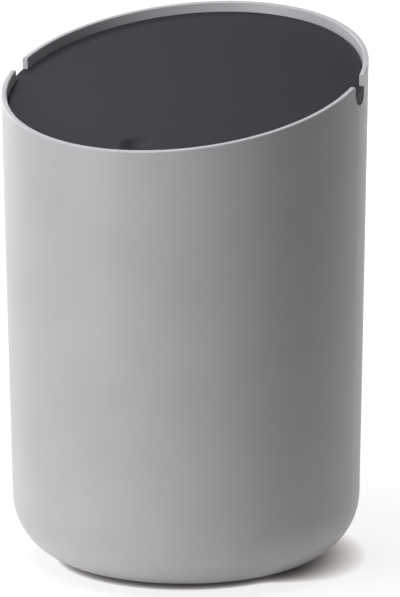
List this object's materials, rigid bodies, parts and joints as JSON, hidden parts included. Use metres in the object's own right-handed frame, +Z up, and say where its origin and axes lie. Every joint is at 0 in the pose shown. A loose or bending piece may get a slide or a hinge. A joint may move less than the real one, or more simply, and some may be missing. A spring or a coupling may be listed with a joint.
{
  "type": "push top countertop bin",
  "caption": "Small round countertop bin: drafted cup with a slanted rim and a flat swing lid on side trunnions that is pushed down at its front and swings shut by itself.",
  "frame": {"origin": "on the counter, under the centre of the base", "axes": "+Z up, -Y to the front where the rim is low and the finger dimple is, +X to the right seen from the front"},
  "size_m": [0.1596, 0.16, 0.2388],
  "materials": {
    "casing_plastic": "fine satin, light grey",
    "lid_plastic": "fine matte, dark grey",
    "foot_rubber": "matte",
    "pad_rubber": "matte",
    "weight_steel": "zinc plated",
    "screw_steel": "zinc plated"
  },
  "bodies": {
    "bin": {"casing": "casing_plastic", "foot_ring": "foot_rubber"},
    "lid": {"lid_shell": "lid_plastic", "lid_cover": "lid_plastic", "counterweight": "weight_steel", "cover_screw_1": "screw_steel", "cover_screw_2": "screw_steel", "cover_screw_3": "screw_steel", "cover_screw_4": "screw_steel", "rest_pad_left": "pad_rubber", "rest_pad_right": "pad_rubber"}
  },
  "joints": [
    {"name": "lid_swing", "type": "hinge", "parent": "bin", "child": "lid", "pos_m": [0, 0.0011, 0.21272], "axis": [1, 0, 0], "range_deg": [0, 75]}
  ]
}
